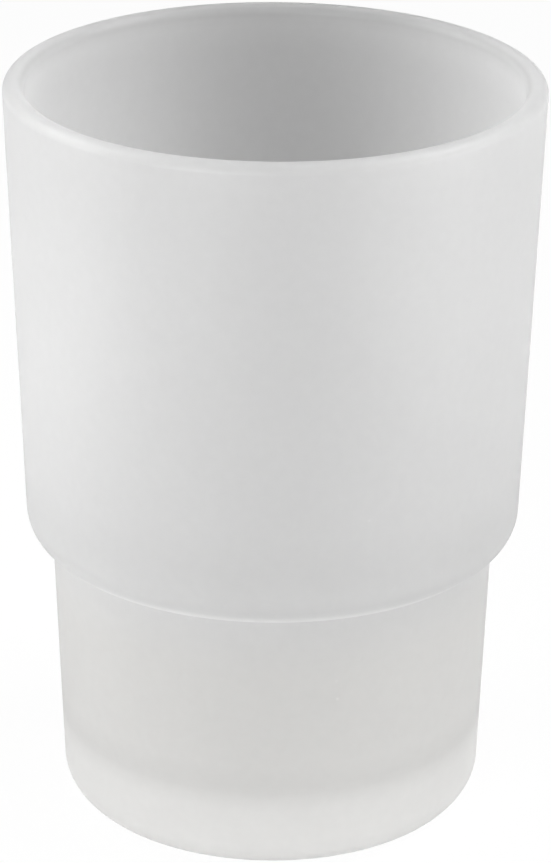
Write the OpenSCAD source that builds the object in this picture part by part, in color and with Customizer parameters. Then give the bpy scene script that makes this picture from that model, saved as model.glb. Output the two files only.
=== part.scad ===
// Frosted glass bathroom tumbler: one pressed piece of glass, wide above and narrow below,
// so that its shoulder rests on a holder's ring. It is turned about Z and stands on z = 0.

/* [Barrel] */
// Height from the table to the lip
height = 100; // [85:1:120]
// Outside diameter at the lip
rim_d = 70; // [67:0.5:76]
// Outside diameter at the barrel's foot, before the shoulder is rounded
barrel_foot_d = 65.2; // [64:0.2:69]
// Thickness of the barrel's wall
wall = 2.8; // [2.2:0.1:3.4]
// Width of the narrow flat left on top of the rounded lip
lip_flat = 0.2; // [0.1:0.1:1.4]

/* [Shoulder] */
// Height of the neck, where the shoulder meets the lower cup
neck_z = 37; // [28:0.5:46]
// Outside diameter of the neck, which drops through the holder's ring
neck_d = 58.6; // [57:0.2:61]
// How steeply the shoulder's underside climbs away from the neck, in degrees
underside_rise = 20; // [8:1:35]
// Radius of the shoulder's round
shoulder_r = 4.8; // [2:0.2:6]
// Radius of the hollow corner at the neck
neck_r = 0.4; // [0.2:0.1:0.8]
// How far above the neck the step inside the tumbler begins
step_lift = 1.5; // [0.5:0.1:3]
// How steeply the step inside climbs, in degrees
step_rise = 45; // [30:1:60]
// Radius of the inside step's two bends
step_r = 5; // [2:0.5:6]

/* [Lower cup] */
// Outside diameter at the base, before the heel is rounded
base_d = 55.8; // [53:0.2:57]
// Thickness of the lower cup's wall
cup_wall = 3.1; // [2.5:0.1:4]
// Radius of the heel
heel_r = 5; // [2:0.5:5.5]

/* [Base] */
// Thickness of the solid glass floor over the table
floor_z = 8.6; // [6:0.2:12]
// Radius of the corner between the floor and the wall inside
floor_r = 4.5; // [2:0.5:6]
// Diameter of the hollow under the base, inside the ring that it stands on
hollow_d = 39; // [32:1:42]
// Depth of the hollow under the base
hollow_depth = 1.2; // [0.6:0.1:2]
// Radius of the hollow's edge
hollow_edge_r = 0.8; // [0.3:0.1:1]

/* [Hidden] */

$fn = 180;
arc_steps = 10;    // straight pieces in each rounded corner
dome_steps = 12;   // straight pieces in the hollow under the base

rim_radius = rim_d / 2;
barrel_foot_radius = barrel_foot_d / 2;
neck_radius = neck_d / 2;
base_radius = base_d / 2;
hollow_radius = hollow_d / 2;

// the lip's two edges share the wall's thickness, less the flat between them
lip_r = (wall - lip_flat) / 2;

// the barrel's foot is where the underside's slope comes out at the barrel's wall
barrel_foot_z = neck_z + (barrel_foot_radius - neck_radius) * tan(underside_rise);

// widening of each wall for one unit of height
barrel_draft = (rim_radius - barrel_foot_radius) / (height - barrel_foot_z);
cup_draft = (neck_radius - base_radius) / neck_z;

// inside radius of the barrel and of the lower cup at a height
function barrel_inside(z) = barrel_foot_radius + barrel_draft * (z - barrel_foot_z) - wall;
function cup_inside(z) = base_radius + cup_draft * z - cup_wall;

// the step inside starts at the lower cup's inner wall and climbs out to the barrel's
step_z = neck_z + step_lift;
step_top_z = step_z + (barrel_inside(step_z) - cup_inside(step_z)) / (1 / tan(step_rise) - barrel_draft);

// the hollow under the base is a shallow dome of this radius
dome_radius = (hollow_radius ^ 2 + hollow_depth ^ 2) / (2 * hollow_depth);
function dome_height(r) = sqrt(dome_radius ^ 2 - r ^ 2) - dome_radius + hollow_depth;

// Half of the glass cut through its axis: each corner is [radius, height, rounding].
function hollow_corners() = [
    for (k = [0 : dome_steps - 1])
        let (r = hollow_radius * k / dome_steps)
        [r, dome_height(r), 0]
];
function outer_corners() = [
    [hollow_radius, 0, hollow_edge_r],
    [base_radius, 0, heel_r],
    [neck_radius, neck_z, neck_r],
    [barrel_foot_radius, barrel_foot_z, shoulder_r],
    [rim_radius, height, lip_r]
];
function inner_corners() = [
    [rim_radius - wall, height, lip_r],
    [barrel_inside(step_top_z), step_top_z, step_r],
    [cup_inside(step_z), step_z, step_r],
    [cup_inside(floor_z), floor_z, floor_r],
    [0, floor_z, 0]
];

function flat(corner) = [corner[0], corner[1]];
function unit(v) = v / norm(v);

// half of the angle inside corner i, and how far its round reaches along each side
function half_angle(corners, i) =
    let (n = len(corners), here = flat(corners[i]))
    let (back = unit(flat(corners[(i + n - 1) % n]) - here), on = unit(flat(corners[(i + 1) % n]) - here))
    acos(back * on) / 2;
function reach(corners, i) = corners[i][2] / tan(half_angle(corners, i));

// the share of corner i's round that fits, when it and corner j round the same side
function side_share(corners, i, j) =
    let (wanted = reach(corners, i) + reach(corners, j))
    wanted > 0 ? min(1, norm(flat(corners[i]) - flat(corners[j])) / wanted) : 1;

// the points of corner i: itself if it is sharp, or an arc that touches both sides
function corner_points(corners, i) =
    let (n = len(corners), before = (i + n - 1) % n, after = (i + 1) % n)
    let (here = flat(corners[i]), half = half_angle(corners, i))
    let (r = corners[i][2] * min(side_share(corners, i, before), side_share(corners, i, after)))
    r == 0 ? [here] :
    let (back = unit(flat(corners[before]) - here), on = unit(flat(corners[after]) - here))
    let (centre = here + unit(back + on) * r / sin(half))
    let (start = here + back * r / tan(half) - centre)
    let (turn = sign(cross(-back, on)) * (180 - 2 * half))
    [for (k = [0 : arc_steps])
        let (a = atan2(start[1], start[0]) + turn * k / arc_steps)
        centre + r * [cos(a), sin(a)]];

function rounded(corners) = [for (i = [0 : len(corners) - 1]) each corner_points(corners, i)];

module glass_section() {
    polygon(rounded(concat(hollow_corners(), outer_corners(), inner_corners())));
}

module glass_tumbler() {
    color("whitesmoke", 0.8)
        rotate_extrude()
            glass_section();
}

glass_tumbler();
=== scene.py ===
import math

import bpy
import numpy as np
from mathutils import Matrix, Vector


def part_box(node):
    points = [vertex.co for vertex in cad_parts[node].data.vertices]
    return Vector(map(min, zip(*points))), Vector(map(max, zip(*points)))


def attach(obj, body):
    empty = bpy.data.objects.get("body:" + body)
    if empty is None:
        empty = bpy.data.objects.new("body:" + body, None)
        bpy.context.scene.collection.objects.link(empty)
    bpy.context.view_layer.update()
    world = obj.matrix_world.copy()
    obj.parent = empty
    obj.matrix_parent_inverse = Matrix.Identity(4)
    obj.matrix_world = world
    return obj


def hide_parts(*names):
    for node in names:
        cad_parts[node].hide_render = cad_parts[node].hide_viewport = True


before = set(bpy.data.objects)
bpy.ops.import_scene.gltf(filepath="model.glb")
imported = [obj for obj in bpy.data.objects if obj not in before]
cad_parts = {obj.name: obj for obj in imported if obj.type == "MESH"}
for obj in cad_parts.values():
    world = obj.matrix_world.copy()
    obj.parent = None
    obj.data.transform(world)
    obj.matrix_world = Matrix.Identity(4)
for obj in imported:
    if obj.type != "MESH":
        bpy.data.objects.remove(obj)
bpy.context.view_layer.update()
print("frame loaded:", ", ".join(sorted(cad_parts)))

mm = 0.001
photoLongSide = 863  # pixels along the picture's longer side


class Wire:
    # Holds one output socket, or only a tree to start from. Arithmetic on it adds Math nodes.
    def __init__(self, tree, socket=None):
        self.tree = tree
        self.socket = socket

    def add(self, kind, settings=None, inputs=None, output=0):
        # a new node: its settings first, then each input by name or number, as a value or a link
        node = self.tree.nodes.new(kind)
        for name, value in (settings or {}).items():
            setattr(node, name, value)
        for key, value in (inputs or {}).items():
            if isinstance(value, Wire):
                self.tree.links.new(value.socket, node.inputs[key])
            else:
                node.inputs[key].default_value = value
        return Wire(self.tree, node.outputs[output]) if node.outputs else node

    def reckon(self, operation, first, second):
        return self.add("ShaderNodeMath", {"operation": operation}, {0: first, 1: second})

    def __add__(self, other):
        return self.reckon("ADD", self, other)

    __radd__ = __add__

    def __sub__(self, other):
        return self.reckon("SUBTRACT", self, other)

    def __rsub__(self, other):
        return self.reckon("SUBTRACT", other, self)

    def __mul__(self, other):
        return self.reckon("MULTIPLY", self, other)

    __rmul__ = __mul__


def newMaterial(name):
    material = bpy.data.materials.new(name)
    material.use_nodes = True
    material.node_tree.nodes.clear()
    return material, Wire(material.node_tree)


# The glass. Its sizes are the driving ones of the turned section, in millimetres.
glass = {
    "wallMm": 2.8,
    "lipFlatMm": 0.2,  # left on top between the lip's two rounded edges
    "barrelFootMm": 32.6,  # radius outside, before the shoulder is rounded
    "neckMm": 29.3,  # radius outside
    "neckHeightMm": 37.0,
    "undersideRiseDeg": 20,
    "shoulderRoundMm": 4.8,
    "neckRoundMm": 0.4,
    "stepLiftMm": 1.5,
    "stepRiseDeg": 45,
    "stepRoundMm": 5.0,
    "baseMm": 27.9,  # radius outside, before the heel is rounded
    "cupWallMm": 3.1,
    "heelRoundMm": 5.0,
    "floorMm": 8.6,
    "floorRoundMm": 4.5,
    "hollowMm": 19.5,  # radius of the hollow under the base
    "hollowDepthMm": 1.2,
    "hollowEdgeRoundMm": 0.8,
    "insetMm": 0.005,  # keeps the lip inside the plain glass, whose circle is cut into straight sides
    "spacingMm": 1.0,  # longest step along the section
    "leastShare": 1 / 3,  # share of it that a new point keeps from the corners' points
    "arcSteps": 14,
    "domeSteps": 20,
    "sides": 256,
    "unevenMm": 0.05,  # how far the lower cup's inner wall wanders from round
    # slow waves: how many go round the axis, their share of it and how far they lean, in degrees
    "unevenWaves": [(2, 0.5, 20), (3, 0.3, 75), (7, 0.2, 140)],
    "unevenTwist": 0.03,  # the waves turn round the axis by this much for each millimetre up, in radians
    "unevenRiseMm": 8,  # it grows from nothing over this height above the floor
    "unevenInsetMm": 2,  # and stays within a cone, this far inside the neck's radius
    "unevenDraft": 0.04,  # which widens by this much for each millimetre up
    "unevenEdgeMm": 1.5,  # and where it fades out over this width
}


def cornerArc(before, here, after, radius, steps):
    # Points on the circle of that radius that touches both sides of a corner: the centre lies on the
    # bisector, radius / sin(half angle) from the corner, and the arc turns by 180 degrees minus the angle.
    back = (before - here) / np.linalg.norm(before - here)
    on = (after - here) / np.linalg.norm(after - here)
    half = np.arccos(np.clip(back @ on, -1, 1)) / 2
    bisector = (back + on) / np.linalg.norm(back + on)
    centre = here + bisector * radius / np.sin(half)
    start = here + back * radius / np.tan(half) - centre
    turn = np.sign(back[1] * on[0] - back[0] * on[1]) * (np.pi - 2 * half)
    angle = np.arctan2(start[1], start[0]) + turn * np.linspace(0, 1, steps + 1)
    return centre + radius * np.column_stack([np.cos(angle), np.sin(angle)])


def glassSection(g, height, rimRadius):
    # The half section as points (radius, height), from the middle of the hollow under the base, out along
    # the base, up the outside, over the lip and down the inside to the middle of the floor.
    rise = np.tan(np.radians(g["undersideRiseDeg"]))
    barrelFootHeight = g["neckHeightMm"] + (g["barrelFootMm"] - g["neckMm"]) * rise
    barrelDraft = (rimRadius - g["barrelFootMm"]) / (height - barrelFootHeight)
    cupDraft = (g["neckMm"] - g["baseMm"]) / g["neckHeightMm"]
    lipRound = (g["wallMm"] - g["lipFlatMm"]) / 2

    def barrelInside(z):
        return g["barrelFootMm"] + barrelDraft * (z - barrelFootHeight) - g["wallMm"]

    def cupInside(z):
        return g["baseMm"] + cupDraft * z - g["cupWallMm"]

    stepZ = g["neckHeightMm"] + g["stepLiftMm"]
    run = 1 / np.tan(np.radians(g["stepRiseDeg"])) - barrelDraft
    stepTopZ = stepZ + (barrelInside(stepZ) - cupInside(stepZ)) / run

    # the hollow is a shallow dome: height = sqrt(R^2 - r^2) - R + depth
    domeRadius = (g["hollowMm"] ** 2 + g["hollowDepthMm"] ** 2) / (2 * g["hollowDepthMm"])
    across = np.linspace(0, g["hollowMm"], g["domeSteps"])[:-1]
    dome = np.column_stack([across, np.sqrt(domeRadius**2 - across**2) - domeRadius + g["hollowDepthMm"]])

    # the corners in order, each with its rounding
    corners = [
        (g["hollowMm"], 0, g["hollowEdgeRoundMm"]),
        (g["baseMm"], 0, g["heelRoundMm"]),
        (g["neckMm"], g["neckHeightMm"], g["neckRoundMm"]),
        (g["barrelFootMm"], barrelFootHeight, g["shoulderRoundMm"]),
        (rimRadius, height, lipRound),
        (rimRadius - g["wallMm"], height, lipRound),
        (barrelInside(stepTopZ), stepTopZ, g["stepRoundMm"]),
        (cupInside(stepZ), stepZ, g["stepRoundMm"]),
        (cupInside(g["floorMm"]), g["floorMm"], g["floorRoundMm"]),
    ]
    path = np.vstack([dome[-1:], [corner[:2] for corner in corners], [[0, g["floorMm"]]]])
    arcs = [
        cornerArc(path[i], path[i + 1], path[i + 2], corner[2], g["arcSteps"])
        for i, corner in enumerate(corners)
    ]
    points = np.vstack([dome, *arcs, path[-1:]])

    # fill the straight runs: every point has a place on a tape laid along the section, and new ones are
    # put in at even marks on the tape
    steps = np.linalg.norm(np.diff(points, axis=0), axis=1)
    tape = np.concatenate([[0], np.cumsum(steps)])
    marks = np.arange(0, tape[-1], g["spacingMm"])
    gap = np.min(np.abs(marks[:, None] - tape[None, :]), axis=1)
    readings = np.sort(np.concatenate([tape, marks[gap > g["spacingMm"] * g["leastShare"]]]))
    return np.column_stack([np.interp(readings, tape, points[:, i]) for i in (0, 1)])


def revolve(name, section, sides, spread):
    # The section carried round Z: x = r cos(t), y = r sin(t), z = z, with r moved out by spread(r, z, t).
    # The first and last points lie on the axis, so each becomes one vertex with a fan round it.
    rings = section[1:-1]
    angle = np.linspace(0, 2 * np.pi, sides, endpoint=False)
    radius = rings[:, :1] + spread(rings[:, :1], rings[:, 1:], angle[None, :])
    height = np.broadcast_to(rings[:, 1:], radius.shape)
    body = np.stack([radius * np.cos(angle), radius * np.sin(angle), height], axis=-1).reshape(-1, 3)
    ends = np.array([[0, 0, section[0, 1]], [0, 0, section[-1, 1]]])
    vertices = np.vstack([body, ends]) * mm

    across = np.arange(sides)
    beside = (across + 1) % sides
    row = np.arange(len(rings) - 1)[:, None] * sides
    above = row + sides
    quads = np.stack([row + across, row + beside, above + beside, above + across], axis=-1).reshape(-1, 4)
    last = (len(rings) - 1) * sides
    lowFan = np.column_stack([np.full(sides, len(body)), beside, across])
    highFan = np.column_stack([np.full(sides, len(body) + 1), last + across, last + beside])
    return meshObject(name, vertices, quads, np.vstack([lowFan, highFan]))


def meshObject(name, vertices, quads, triangles):
    # the faces' corners lie in one run, quads first, and starts says where each face begins in it
    mesh = bpy.data.meshes.new(name)
    corners = np.concatenate([quads.ravel(), triangles.ravel()])
    starts = np.concatenate([np.arange(len(quads)) * 4, quads.size + np.arange(len(triangles)) * 3])
    mesh.vertices.add(len(vertices))
    mesh.vertices.foreach_set("co", vertices.astype(np.float32).ravel())
    mesh.loops.add(len(corners))
    mesh.loops.foreach_set("vertex_index", corners.astype(np.int32))
    mesh.polygons.add(len(starts))
    mesh.polygons.foreach_set("loop_start", starts.astype(np.int32))
    mesh.polygons.foreach_set("use_smooth", np.ones(len(starts), bool))
    mesh.update(calc_edges=True)
    mesh.validate()
    made = bpy.data.objects.new(name, mesh)
    bpy.context.scene.collection.objects.link(made)
    return made


def innerUnevenness(g):
    # Pressed glass isn't quite round inside the lower cup: r moves by a sum of slow waves round the axis,
    # share cos(n (t + twist z) + lean), fading to nothing at the floor and within a cone inside the wall.
    def spread(r, z, t):
        cone = g["neckMm"] - g["unevenInsetMm"] + g["unevenDraft"] * z
        fade = np.clip((cone - r) / g["unevenEdgeMm"], 0, 1)
        fade = fade * np.clip((z - g["floorMm"]) / g["unevenRiseMm"], 0, 1)
        wander = sum(
            share * np.cos(n * (t + g["unevenTwist"] * z) + np.radians(lean))
            for n, share, lean in g["unevenWaves"]
        )
        return g["unevenMm"] * fade * wander

    return spread


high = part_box("glass_tumbler")[1]  # as far out as the lip reaches, and as high
rimRadius = high.x / mm - glass["insetMm"]
section = glassSection(glass, high.z / mm, rimRadius)
tumbler = revolve("tumbler", section, glass["sides"], innerUnevenness(glass))
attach(tumbler, "root")
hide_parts("glass_tumbler")
print("glass:", len(section), "points in its section,", len(tumbler.data.polygons), "faces")

# The finish: acid-etched inside and out. Painted light and shade change its colour a little with the
# height
# in millimetres: outside and inside give it as a share of the colour, with an even change in between.
frosting = {
    "colour": (0.75, 0.75, 0.75, 1),
    "cupTint": (1.008, 1.0, 0.978),  # the thicker glass of the cup and base is a little warmer
    "cupTintFadeMm": 8,  # below the neck
    "clear": 0.6,  # share of the light that goes through the glass, not scattered back
    "roughness": 0.4,
    "index": 1.5,
    "milkiness": 0.5,  # share of the surface that spreads the light evenly on its way through
    "milkPeak": 1.33,  # that share's own colour is this many times the colour, and is dimmed from there by the painted light and shade
    "cloudMm": 1.5,  # the etching is a little uneven, in faint clouds about this wide
    "cloudGain": 0.05,
    "cloudRoughness": 0.08,
    "grainMm": 0.3,  # and it leaves a fine grain, this wide and deep
    "grainDepthMm": 0.002,
    "outside": {
        0: 1.17,  # painted light: the solid base is lighter all through
        3.5: 1.16,
        5: 1.14,
        9: 1.12,
        10.2: 1.09,
        11.2: 1.05,
        12.4: 0.98,  # painted shade where the floor meets the wall
        13.4: 1.0,
        16: 1.04,  # the lower cup
        24: 1.02,
        30: 1.0,
        36.9: 0.98,
        37.1: 1.1,
        37.4: 1.3,  # painted highlight along the corner at the neck
        38.0: 1.2,
        38.7: 0.95,
        39.5: 0.9,  # painted shade on the shoulder, which looks down
        44: 0.91,
        50: 0.96,  # the barrel, darker towards the bottom in painted shade
        65: 0.98,
        80: 1.0,
        98: 1.02,
        98.6: 1.0,
        99.4: 1.1,
        100: 1.15,  # painted highlight on the lip
    },
    "inside": {
        8.6: 0.8,  # the floor, darkened with painted shade
        12: 1.0,
        46: 1.1,
        94: 0.94,
        97.3: 0.97,
        98.1: 0.95,
        98.7: 0.89,
        99.6: 0.92,
        99.9: 1.09,
        100: 1.15,  # painted highlight on the lip
    },
    "flecks": [
        {"middleMm": (8.53, -27.57, 25.4), "radiusMm": 0.35, "gain": 0.12},
        {"middleMm": (8.37, -27.72, 28.0), "radiusMm": 0.3, "gain": 0.05},
        {"middleMm": (12.14, -30.83, 51.9), "radiusMm": 0.3, "gain": 0.06},
    ],
}


def writePaintedLightShade(made, sides, section, f):
    # one colour for each vertex, painting light and shade into the glass: the share read at its height
    # from the table for its side of the lip, times the cup's tint, which is there in full below the neck
    # and fades out up to it
    height = section[:, 1]
    outer = np.interp(height, list(f["outside"]), list(f["outside"].values()))
    inner = np.interp(height, list(f["inside"]), list(f["inside"].values()))
    along = np.where(np.arange(len(section)) < np.argmax(height), outer, inner)
    cup = np.clip((glass["neckHeightMm"] - height) / f["cupTintFadeMm"], 0, 1)[:, None]
    tint = 1 + cup * (np.array(f["cupTint"]) - 1)
    shares = np.column_stack([along[:, None] * tint, np.ones(len(section))])
    values = np.concatenate([np.repeat(shares[1:-1], sides, axis=0), shares[[0, -1]]])
    paintedLightShade = made.data.attributes.new("paintedLightShade", "FLOAT_COLOR", "POINT")
    paintedLightShade.data.foreach_set("color", values.astype(np.float32).ravel())


def noise(start, place, widthMm, detail):
    # a smooth random field, from -0.5 to 0.5, whose lumps are about that wide
    inputs = {"Vector": place, "Scale": 1 / (widthMm * mm), "Detail": detail}
    return start.add("ShaderNodeTexNoise", None, inputs) - 0.5


def brightening(start, place, flecks):
    # 1, and a little more inside each pale fleck, most in its middle
    total = 1
    for fleck in flecks:
        middle = Vector(fleck["middleMm"]) * mm
        ends = {0: place, 1: middle}
        away = start.add("ShaderNodeVectorMath", {"operation": "DISTANCE"}, ends, output="Value")
        reach = {"Value": away, "From Max": fleck["radiusMm"] * mm, "To Min": fleck["gain"], "To Max": 0}
        total = total + start.add("ShaderNodeMapRange", {"interpolation_type": "SMOOTHSTEP"}, reach)
    return total


def frostedGlass(f):
    material, start = newMaterial("frostedGlass")
    # the painted light and shade set by height, read as a colour and as one share
    paintedLightShade = start.add("ShaderNodeAttribute", {"attribute_name": "paintedLightShade"}, output="Color")
    share = start.add("ShaderNodeAttribute", {"attribute_name": "paintedLightShade"}, output="Fac")
    place = start.add("ShaderNodeTexCoord", output="Object")
    cloud = noise(start, place, f["cloudMm"], detail=3)
    gain = brightening(start, place, f["flecks"]) + cloud * f["cloudGain"]
    plain = f["colour"][:3]
    shaded = start.add("ShaderNodeVectorMath", {"operation": "MULTIPLY"}, {0: plain, 1: paintedLightShade})
    colour = start.add("ShaderNodeVectorMath", {"operation": "SCALE"}, {"Vector": shaded, "Scale": gain})
    grain = {"Height": noise(start, place, f["grainMm"], detail=1), "Distance": f["grainDepthMm"] * mm}
    normal = start.add("ShaderNodeBump", None, grain)
    shader = start.add(
        "ShaderNodeBsdfPrincipled",
        {"distribution": "MULTI_GGX"},
        {
            "Base Color": colour,
            "Roughness": cloud * f["cloudRoughness"] + f["roughness"],
            "IOR": f["index"],
            "Transmission Weight": f["clear"],
            "Normal": normal,
        },
    )
    # the milky half has one colour, and is mixed with black to follow the same shares of painted light and
    # shade
    milkColour = [part * f["milkPeak"] for part in plain] + [1]
    milk = start.add("ShaderNodeBsdfTranslucent", None, {"Color": milkColour})
    dark = start.add("ShaderNodeBsdfDiffuse", None, {"Color": (0, 0, 0, 1)})
    light = share * gain * (1 / f["milkPeak"])
    dimmed = start.add("ShaderNodeMixShader", None, {0: light, 1: dark, 2: milk})
    mixed = start.add("ShaderNodeMixShader", None, {0: f["milkiness"], 1: shader, 2: dimmed})
    start.add("ShaderNodeOutputMaterial", None, {"Surface": mixed})
    return material


writePaintedLightShade(tumbler, glass["sides"], section, frosting)
tumbler.data.materials.append(frostedGlass(frosting))
print("frosting: done")

# The table, and the dim room round it.
studio = {
    "tableColour": (0.9, 0.9, 0.9, 1),
    "tableRadius": 3.0,
    "tableTop": -0.00002,  # a hair under the glass, so that the two don't share a surface
    "tableSides": 96,
    # how white it looks to each kind of ray, where 1 is pure white
    "whiteShare": {"Is Camera Ray": 0.95, "Is Glossy Ray": 0.8, "Is Transmission Ray": 0.8},
    "roomLevel": 0.01,  # light from all round
}


def seenDirectly(start, shares):
    # how much of the table's white shows to rays from the camera, a reflection or the glass; light that
    # bounces meets the paint alone, so that the table keeps the shadow
    seen = [start.add("ShaderNodeLightPath", output=name) * share for name, share in shares.items()]
    most = seen[0].reckon("MAXIMUM", seen[0], seen[1])
    return most.reckon("MAXIMUM", most, seen[2])


def tableMaterial(s):
    material, start = newMaterial("paleTable")
    paint = start.add("ShaderNodeBsdfDiffuse", None, {"Color": s["tableColour"]})
    white = start.add("ShaderNodeEmission", None, {"Color": (1, 1, 1, 1), "Strength": 1.0})
    seen = seenDirectly(start, s["whiteShare"])
    mixed = start.add("ShaderNodeMixShader", None, {0: seen, 1: paint, 2: white})
    start.add("ShaderNodeOutputMaterial", None, {"Surface": mixed})
    material.cycles.emission_sampling = "NONE"  # the white is only for what is seen, and isn't a lamp
    return material


def makeTable(s):
    # a flat disc: a ring of points, x = r cos(t), y = r sin(t), and one in the middle
    sides = s["tableSides"]
    angle = np.linspace(0, 2 * np.pi, sides, endpoint=False)
    flat = np.column_stack([np.cos(angle), np.sin(angle), 0 * angle]) * s["tableRadius"]
    points = np.vstack([flat, [[0, 0, 0]]]) + [0, 0, s["tableTop"]]
    across = np.arange(sides)
    fan = np.column_stack([np.full(sides, sides), across, (across + 1) % sides])
    table = meshObject("table", points, np.zeros((0, 4), int), fan)
    table.data.materials.append(tableMaterial(s))


def makeRoom(s):
    world = bpy.data.worlds.new("room")
    world.use_nodes = True
    world.node_tree.nodes.clear()
    start = Wire(world.node_tree)
    light = start.add("ShaderNodeBackground", None, {"Color": (1, 1, 1, 1), "Strength": s["roomLevel"]})
    start.add("ShaderNodeOutputWorld", None, {"Surface": light})
    bpy.context.scene.world = world


makeTable(studio)
makeRoom(studio)

# Soft boxes: where each hangs, the length of its sides in metres and its power in watts. The bearing goes
# round from the camera's side, positive to the right; the climb is an angle over the table.
softBoxes = {
    "leftWide": {"bearingDeg": -90, "climbDeg": 4, "distance": 1.0, "side": 0.5, "power": 3.76},
    "leftHigh": {"bearingDeg": -100, "climbDeg": 40, "distance": 0.35, "side": 0.18, "power": 0.628},
    "leftLow": {"bearingDeg": -75, "climbDeg": 2, "distance": 0.35, "side": 0.1, "power": 0.311},
    "leftFront": {"bearingDeg": -25, "climbDeg": 12, "distance": 0.35, "side": 0.18, "power": 0.639},
    "leftFrontLow": {"bearingDeg": -25, "climbDeg": 2, "distance": 0.35, "side": 0.1, "power": 0.441},
    "rightFrontLow": {"bearingDeg": 50, "climbDeg": 2, "distance": 0.35, "side": 0.1, "power": 0.359},
    "rightLow": {"bearingDeg": 75, "climbDeg": 2, "distance": 0.35, "side": 0.1, "power": 0.548},
    "rightHigh": {"bearingDeg": 90, "climbDeg": 48, "distance": 1.0, "side": 0.5, "power": 7.74},
}
lightsAim = Vector((0, 0, 0.05))


def hangLight(name, box):
    lamp = bpy.data.lights.new(name, "AREA")
    lamp.size = box["side"]
    lamp.energy = box["power"]
    held = bpy.data.objects.new(name, lamp)
    bearing = math.radians(box["bearingDeg"])
    climb = math.radians(box["climbDeg"])
    level = Vector((math.sin(bearing), -math.cos(bearing), 0))
    toLamp = level * math.cos(climb) + Vector((0, 0, math.sin(climb)))
    held.location = lightsAim + toLamp * box["distance"]
    held.rotation_euler = (-toLamp).to_track_quat("-Z", "Y").to_euler()
    bpy.context.scene.collection.objects.link(held)


for name, box in softBoxes.items():
    hangLight(name, box)
print("studio:", len(softBoxes), "soft boxes")

# The camera, as the photograph's outline, lip and neck line place it.
view = {
    "aimHeight": 0.05,
    "distance": 0.5323,
    "elevationDeg": 22.733,
    "rollDeg": 0.404,
    "focalPixels": 4017.4,
    "aimPixel": (272.92, 438.94),  # where the aim point lies in the picture
    "middlePixel": (275.5, 431.5),
}


def placeCamera(v):
    lens = bpy.data.cameras.new("camera")
    lens.sensor_width = 36
    lens.sensor_fit = "AUTO"
    lens.lens = v["focalPixels"] * lens.sensor_width / photoLongSide
    lens.shift_x = (v["middlePixel"][0] - v["aimPixel"][0]) / photoLongSide
    lens.shift_y = (v["aimPixel"][1] - v["middlePixel"][1]) / photoLongSide
    lens.clip_start = 0.01
    elevation = math.radians(v["elevationDeg"])
    aim = Vector((0, 0, v["aimHeight"]))
    back = Vector((0, -math.cos(elevation), math.sin(elevation)))
    camera = bpy.data.objects.new("camera", lens)
    turned = (-back).to_track_quat("-Z", "Y").to_matrix().to_4x4()
    rolled = Matrix.Rotation(math.radians(v["rollDeg"]), 4, "Z")
    camera.matrix_world = Matrix.Translation(aim + back * v["distance"]) @ turned @ rolled
    bpy.context.scene.collection.objects.link(camera)
    bpy.context.scene.camera = camera


placeCamera(view)
bpy.context.scene.view_settings.view_transform = "Standard"
print("camera: placed")
